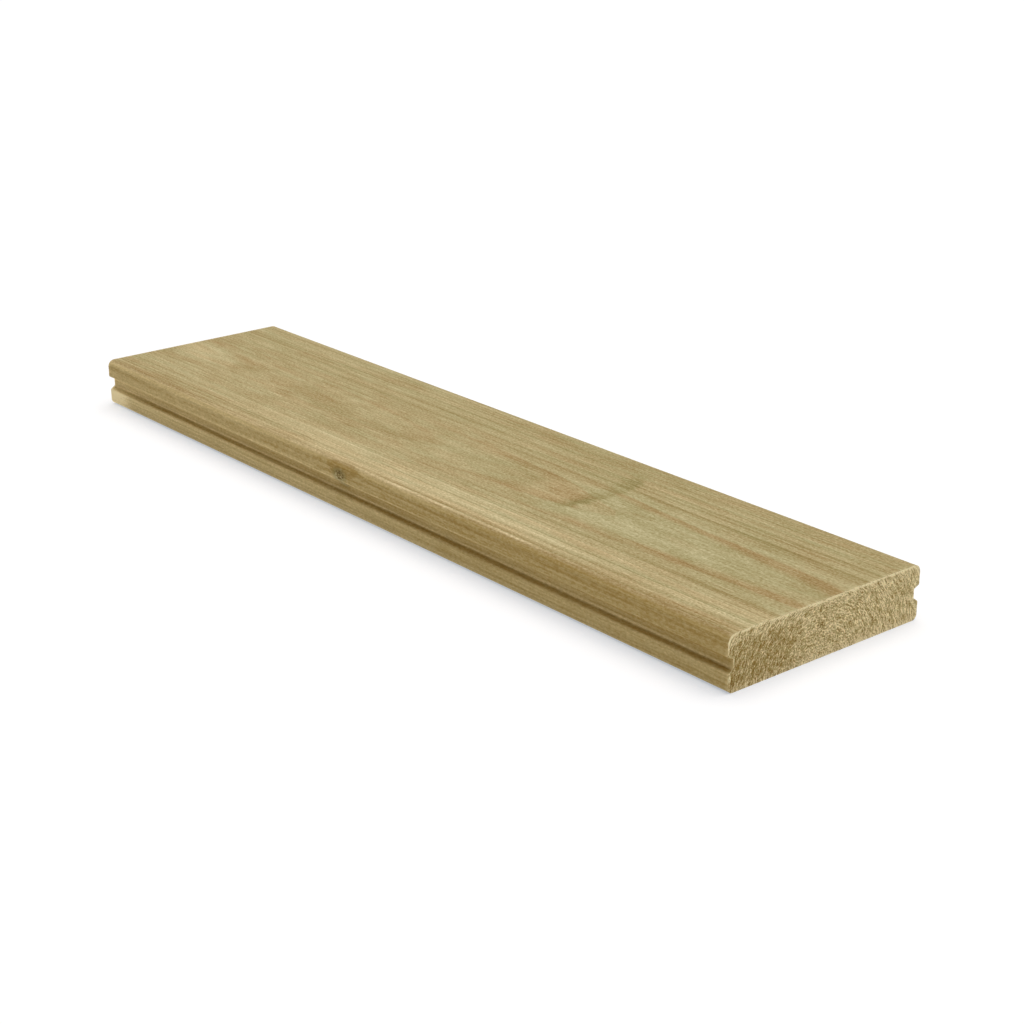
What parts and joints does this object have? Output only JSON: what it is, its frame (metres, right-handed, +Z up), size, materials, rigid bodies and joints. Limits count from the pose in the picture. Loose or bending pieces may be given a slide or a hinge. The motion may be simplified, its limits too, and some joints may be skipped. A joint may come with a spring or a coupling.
{
  "type": "grooved wooden decking plank",
  "caption": "Flat softwood plank, planed on all sides, with eased edges, a clip groove along both long edges and rough sawn ends, laid on joists as decking.",
  "frame": {"origin": "centre of the underside", "axes": "+X along the length and the grain, +Y across the width, +Z up out of the walking face"},
  "size_m": [0.52, 0.12, 0.027],
  "materials": {
    "treated_pine": "matte, planed and unsealed, pressure treated to a pale olive tan, with rough sawn end grain"
  },
  "bodies": {
    "root": {"plank": "treated_pine"}
  },
  "joints": []
}
